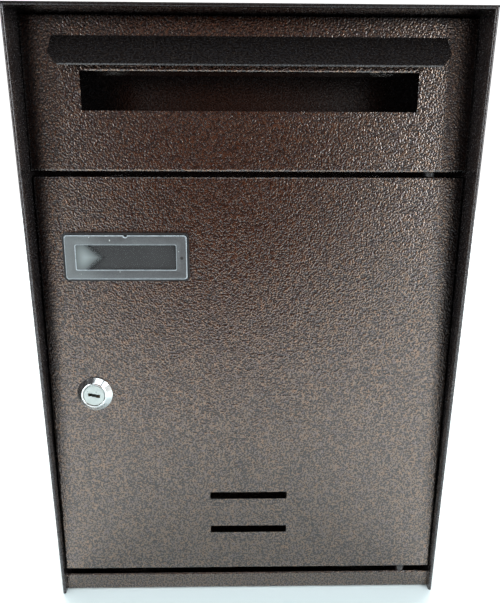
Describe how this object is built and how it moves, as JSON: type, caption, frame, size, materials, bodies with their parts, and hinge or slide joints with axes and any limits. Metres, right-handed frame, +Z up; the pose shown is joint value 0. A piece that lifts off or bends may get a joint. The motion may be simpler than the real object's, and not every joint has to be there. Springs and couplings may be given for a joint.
{
  "type": "wall mounted mailbox",
  "caption": "Upright sheet-steel wall mailbox with a visored letter slot, a side-hinged lockable door, vent slits and a nameplate holder.",
  "frame": {"origin": "middle of the four wall holes, on the back face that lies against the wall", "axes": "+Z up, +X to the right when looking at the front, +Y into the wall, so the door faces -Y"},
  "size_m": [0.2506, 0.1028, 0.362],
  "materials": {
    "hammered_paint": "brown and copper hammered enamel, semi-gloss",
    "zinc_steel": "zinc plated",
    "black_plastic": "moulded, satin",
    "grey_card": "uncoated dark grey card",
    "clear_plastic": "clear, lightly scuffed",
    "lock_chrome": "polished chrome plate",
    "lock_face": "satin nickel",
    "wafer_brass": "plain"
  },
  "bodies": {
    "casing": {"back_panel": "hammered_paint", "left_side_wall": "hammered_paint", "right_side_wall": "hammered_paint", "roof": "hammered_paint", "bottom_plate": "hammered_paint", "upper_front_panel": "hammered_paint", "visor": "hammered_paint", "strike_bracket": "hammered_paint", "upper_hinge_pin": "hammered_paint", "lower_hinge_pin": "hammered_paint", "hinge_spacers": "black_plastic"},
    "door": {"door_panel": "hammered_paint", "nameplate_base": "black_plastic", "nameplate_push_nuts": "zinc_steel", "name_card": "grey_card", "lock_housing": "lock_chrome", "lock_washer": "zinc_steel", "lock_nut": "zinc_steel"},
    "window": {"nameplate_cover": "clear_plastic"},
    "lock_core": {"lock_plug": "lock_face", "lock_wafers": "wafer_brass", "lock_cam": "zinc_steel", "cam_washer": "zinc_steel", "cam_screw": "zinc_steel"}
  },
  "joints": [
    {"name": "door_hinge", "type": "hinge", "parent": "casing", "child": "door", "pos_m": [0.104, -0.0755, 0], "axis": [0, 0, 1], "range_deg": [0, 118]},
    {"name": "lock_turn", "type": "hinge", "parent": "door", "child": "lock_core", "pos_m": [-0.0955, -0.08, -0.0374], "axis": [0, 1, 0], "range_deg": [0, 90]},
    {"name": "window_pull", "type": "slide", "parent": "door", "child": "window", "axis": [0, -1, 0], "range_m": [0, 0.012]}
  ]
}
